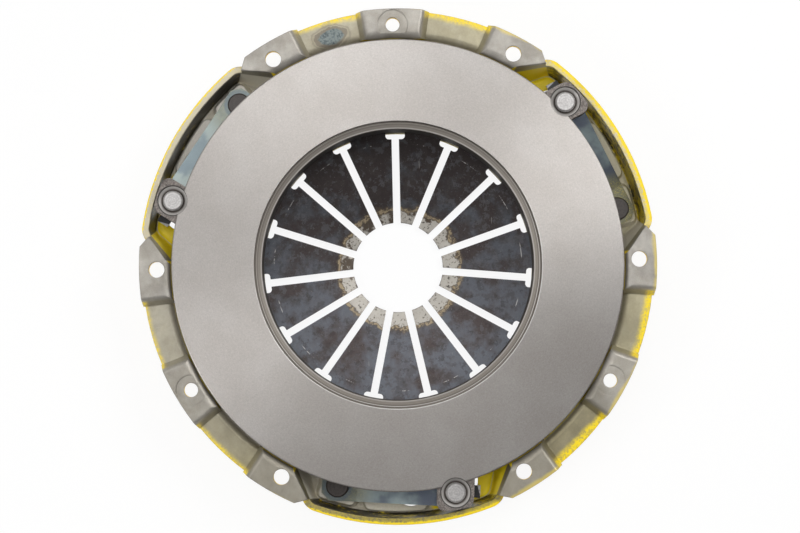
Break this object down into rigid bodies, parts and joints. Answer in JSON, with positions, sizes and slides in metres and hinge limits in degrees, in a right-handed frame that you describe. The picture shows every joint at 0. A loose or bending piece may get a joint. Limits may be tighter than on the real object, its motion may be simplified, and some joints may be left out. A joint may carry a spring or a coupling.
{
  "type": "clutch pressure plate",
  "caption": "Diaphragm-spring clutch cover with a yellow pressed drum, cast friction ring on drive straps, and slotted spring fingers.",
  "frame": {"origin": "centre of the bolt circle, on the mounting face of the cover's tabs", "axes": "+Z along the shaft axis towards the flywheel, so the friction face looks up; +Y through a dowel hole"},
  "size_m": [0.295, 0.2949, 0.0451],
  "materials": {
    "yellow_paint": "satin",
    "ground_iron": "satin",
    "spring_steel": "satin",
    "strap_steel": "satin",
    "rivet_steel": "satin",
    "black_steel": "satin"
  },
  "bodies": {
    "cover_assembly": {"cover": "yellow_paint", "diaphragm_spring": "spring_steel", "fulcrum_ring_front": "spring_steel", "fulcrum_ring_rear": "spring_steel", "fulcrum_rivets": "rivet_steel", "cover_strap_rivets": "rivet_steel", "strap_1_leaf_1": "strap_steel", "strap_1_leaf_2": "strap_steel", "strap_1_leaf_3": "strap_steel", "strap_2_leaf_1": "strap_steel", "strap_2_leaf_2": "strap_steel", "strap_2_leaf_3": "strap_steel", "strap_3_leaf_1": "strap_steel", "strap_3_leaf_2": "strap_steel", "strap_3_leaf_3": "strap_steel"},
    "pressure_plate_assembly": {"pressure_plate": "ground_iron", "lug_rivets": "rivet_steel", "strap_1_backing_plate": "black_steel", "strap_2_backing_plate": "black_steel", "strap_3_backing_plate": "black_steel"}
  },
  "joints": [
    {"name": "plate_slide", "type": "slide", "parent": "cover_assembly", "child": "pressure_plate_assembly", "axis": [0, 0, -1], "range_m": [0, 0.0052], "stiffness_N_per_m": 20000, "springref_m": -0.004, "deforming": ["diaphragm_spring", "strap_1_leaf_1", "strap_1_leaf_2", "strap_1_leaf_3", "strap_2_leaf_1", "strap_2_leaf_2", "strap_2_leaf_3", "strap_3_leaf_1", "strap_3_leaf_2", "strap_3_leaf_3"]}
  ]
}
